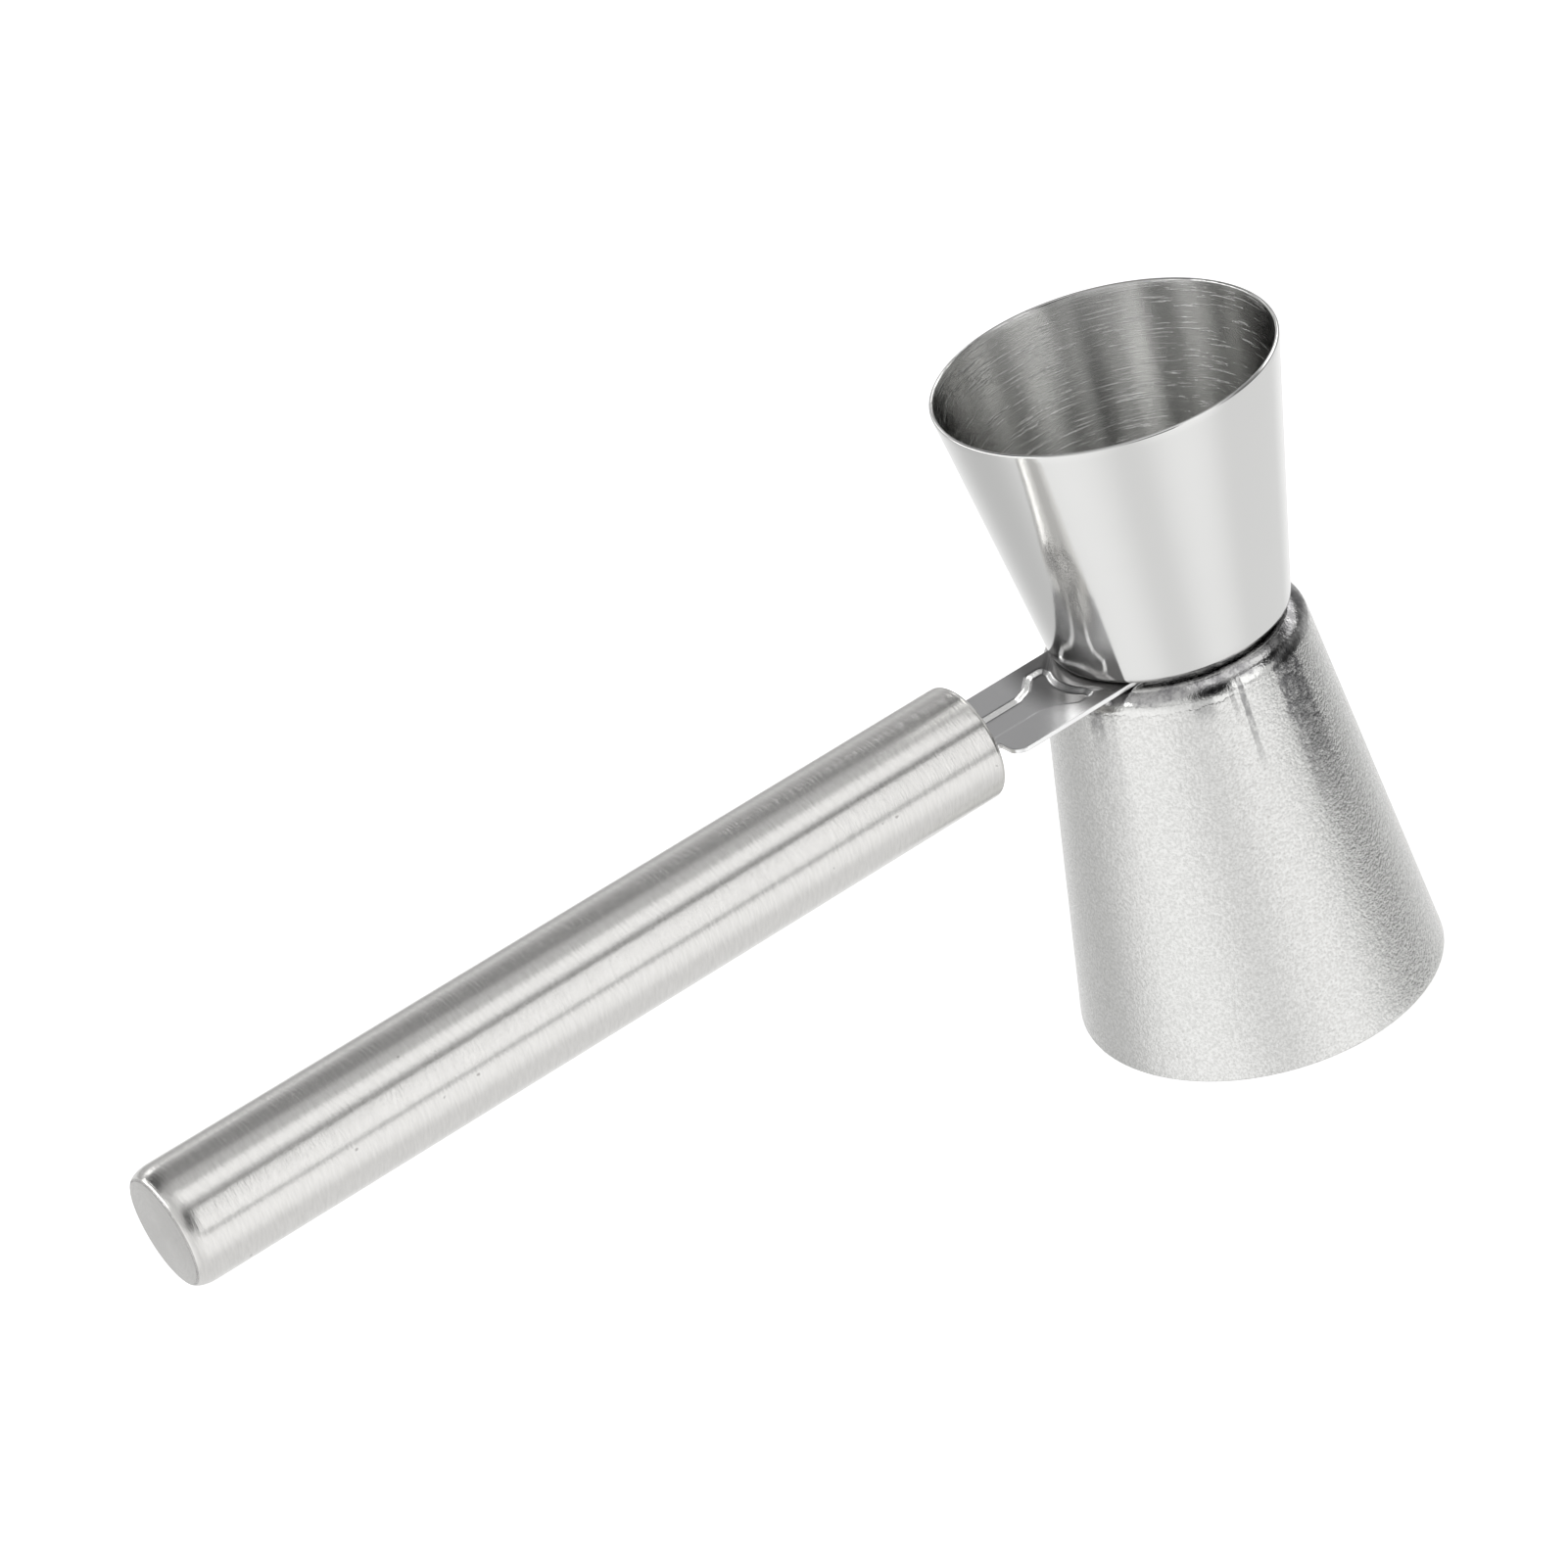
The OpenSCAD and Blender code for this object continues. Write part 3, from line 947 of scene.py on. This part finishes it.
REAR_ROUND = (1.0 * MM, 2.4 * MM)    # rounding ground over the ends: across and along the tube
FRONT_ROUND = (0.85 * MM, 0.75 * MM)
REAR_DOME = 0.15 * MM                # how far the middle of the rear cap stands out
DOME_STEPS = 16
CAP_CHAMFER = 0.05 * MM              # on the rear cap's inner edge
SEAM_HALF = 0.11 * MM                # half width of the visible weld between cap and tube
SEAM_ROOT = seam_high.x - seam_low.x
WELD_TURNS = 360                     # steps round a ring weld
WELD_WAVES = 40                      # its ripples come fewer than this many to a turn
WELD_RIPPLE = 0.025 * MM             # their mean depth
WELD_PITS = 6
PIT_SPREAD = 3.0                     # half width of a pit, in steps
PIT_DEPTH = 0.16 * MM


def end_arc(rounding, r_from, r_to, steps):
    """Points (radius, distance from the end plane) of the rounded end between two radii."""
    across, along = rounding
    centre = TUBE_R - across
    start = math.acos(max(-1, min(1, (r_from - centre) / across)))
    stop = math.acos(max(-1, min(1, (r_to - centre) / across)))
    angles = [start + (stop - start) * i / steps for i in range(steps + 1)]
    return [(centre + across * math.cos(a), along * (1 - math.sin(a))) for a in angles]


def at_front(points):
    """Profile points of the front end, from their distances to its end plane."""
    return [(r, FRONT_X - u) for r, u in points]


def at_rear(points):
    """The same for the rear end, whose domed cap stands out past its end plane."""
    return [(r, REAR_X + REAR_DOME + u) for r, u in points]


def seam_root(rounding):
    """Point where a ring weld's root lies on the bore."""
    return (BORE_R, end_arc(rounding, BORE_R, BORE_R, 1)[0][1] + SEAM_ROOT)


def make_tube():
    """Handle tube with both ends rounded, from the front weld round to the rear weld."""
    front = at_front(end_arc(FRONT_ROUND, BORE_R + SEAM_HALF, TUBE_R, 14))
    rear = at_rear(end_arc(REAR_ROUND, TUBE_R, BORE_R + SEAM_HALF, 20))
    profile = front[:-1] + line(front[-1], rear[0], 80) + rear
    profile += at_rear([seam_root(REAR_ROUND)]) + at_front([seam_root(FRONT_ROUND)])
    verts, faces = lathe(profile, about_handle, closed=True)
    make_object("handle_tube_shell", verts, faces, brushed, "handle_tube")


def make_rear_cap():
    """Rear cap, ground round with the tube."""
    face_r = TUBE_R - REAR_ROUND[0]
    ground = end_arc(REAR_ROUND, BORE_R - SEAM_HALF, face_r, 6)
    profile = at_rear([seam_root(REAR_ROUND)] + ground[:-1])
    for i in range(DOME_STEPS + 1):
        out = 1 - i / DOME_STEPS
        profile.append((face_r * out, REAR_X + REAR_DOME * out ** 2))
    profile += [(0, REAR_X + CAP_T)]
    profile += [(BORE_R - CAP_CHAMFER, REAR_X + CAP_T), (BORE_R, REAR_X + CAP_T - CAP_CHAMFER)]
    verts, faces = lathe(profile, about_handle, closed=True)
    make_object("rear_cap_shell", verts, faces, brushed, "rear_cap")


def make_end_weld(name, rounding, place, node, seed):
    """Ring of ground weld metal between a cap and the tube, with small pits."""
    rng = np.random.default_rng(seed)
    spectrum = np.fft.rfft(rng.normal(0, 1, WELD_TURNS))
    spectrum[WELD_WAVES:] = 0
    wave = np.fft.irfft(spectrum, WELD_TURNS)
    wave /= np.abs(wave).max()
    steps = np.arange(WELD_TURNS)
    pits = np.zeros(WELD_TURNS)
    for centre in rng.integers(0, WELD_TURNS, WELD_PITS):
        near = np.minimum((steps - centre) % WELD_TURNS, (centre - steps) % WELD_TURNS)
        pits = np.maximum(pits, np.exp(-0.5 * (near / PIT_SPREAD) ** 2))
    surface = end_arc(rounding, BORE_R + SEAM_HALF, BORE_R - SEAM_HALF, 4)
    verts = []
    for j in range(WELD_TURNS):
        sink = WELD_RIPPLE * (1 + wave[j]) + PIT_DEPTH * pits[j]
        angle = 2 * math.pi * j / WELD_TURNS
        section = []
        for k, (r, u) in enumerate(surface):
            section.append((r, u + sink * math.sin(math.pi * k / (len(surface) - 1))))
        section.append(seam_root(rounding))
        verts += [about_handle(r, h, angle) for r, h in place(section)]
    faces = ring_faces(WELD_TURNS, len(surface) + 1, closed=True)
    make_object(name, verts, faces, end_welded, node)


end_welded = make_welded("end_weld_steel", "X")
make_tube()
make_rear_cap()
make_end_weld("rear_cap_weld_ring", REAR_ROUND, at_rear, "rear_cap_weld", 11)
make_end_weld("front_cap_weld_ring", FRONT_ROUND, at_front, "front_cap_weld", 5)
front_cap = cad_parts["front_cap"]
front_cap.data.materials.clear()
front_cap.data.materials.append(brushed)


# ---------------------------------------------------------------- small welds

# Dished face of a spot weld: radius, and depth below its raised rim
NUGGET_FACE = (
    (0, 0.14 * MM),
    (0.6 * MM, 0.13 * MM),
    (1.0 * MM, 0.09 * MM),
    (1.2 * MM, 0.02 * MM),
    (1.32 * MM, 0),
    (1.42 * MM, 0.02 * MM),
    (NUGGET_R, 0.07 * MM),
)
BEAD_STEPS = 120                     # along a fillet weld
BEAD_CORNER = 10                     # and round its face
BEAD_RIPPLE = 1.0 * MM               # spacing of its ripples
BEAD_TAPER = 0.5 * MM                # length over which its ends thin out


def make_nuggets():
    """Spot-weld nuggets with a dished face and a raised rim, seen inside both cups."""
    half = (nuggets_high.z - nuggets_low.z) / 2
    section = [(r, half - depth) for r, depth in NUGGET_FACE]
    section += [(r, -z) for r, z in reversed(section)]
    middle = (nuggets_high.z + nuggets_low.z) / 2
    verts, faces = [], []
    for cx, cy in nugget_centres():
        more, quads = lathe(section, about_z, closed=False, turns=48)
        first = len(verts)
        verts += [v + Vector((cx, cy, middle)) for v in more]
        faces += [tuple(first + i for i in q) for q in quads]
    make_object("waist_weld_nuggets_dished", verts, faces, welded, "waist_weld_nuggets")


def bead_size(y):
    """Leg of a fillet weld at a place across the tang: rippled, and thinner at both ends."""
    leg = beads_high.x - beads_low.x
    ripple = abs(math.cos(math.pi * y / BEAD_RIPPLE))
    taper = min(1.0, (TANG_HALF_W - abs(y)) / BEAD_TAPER)
    return leg * (0.88 + 0.12 * ripple) * (0.35 + 0.65 * math.sqrt(max(taper, 0.0)))


def make_tang_beads():
    """Fillet welds above and below the tang, laid as a row of ripples."""
    verts, faces = [], []
    n = BEAD_CORNER + 2
    for side, face_z in ((1, PLATE_TOP), (-1, LARGE_TOP_Z)):
        first = len(verts)
        for i in range(BEAD_STEPS + 1):
            y = -TANG_HALF_W + 2 * TANG_HALF_W * i / BEAD_STEPS
            size = bead_size(y)
            verts.append(Vector((FRONT_X, y, face_z)))
            for k in range(BEAD_CORNER + 1):
                a = math.pi / 2 * k / BEAD_CORNER
                bulge = 0.80 + 0.20 * (2 * abs(k / BEAD_CORNER - 0.5)) ** 2
                verts.append(Vector((FRONT_X + size * bulge * math.cos(a), y,
                                     face_z + side * size * bulge * math.sin(a))))
        for i in range(BEAD_STEPS):
            a, b = first + i * n, first + (i + 1) * n
            faces += [(a + k, a + (k + 1) % n, b + (k + 1) % n, b + k) for k in range(n)]
        last = first + BEAD_STEPS * n
        faces.append(tuple(first + k for k in range(n)))
        faces.append(tuple(last + k for k in reversed(range(n))))
    make_object("tang_weld_beads_rippled", verts, faces, welded, "tang_weld_beads")


make_nuggets()
make_tang_beads()


# ---------------------------------------------------------------- finish

bpy.context.view_layer.update()
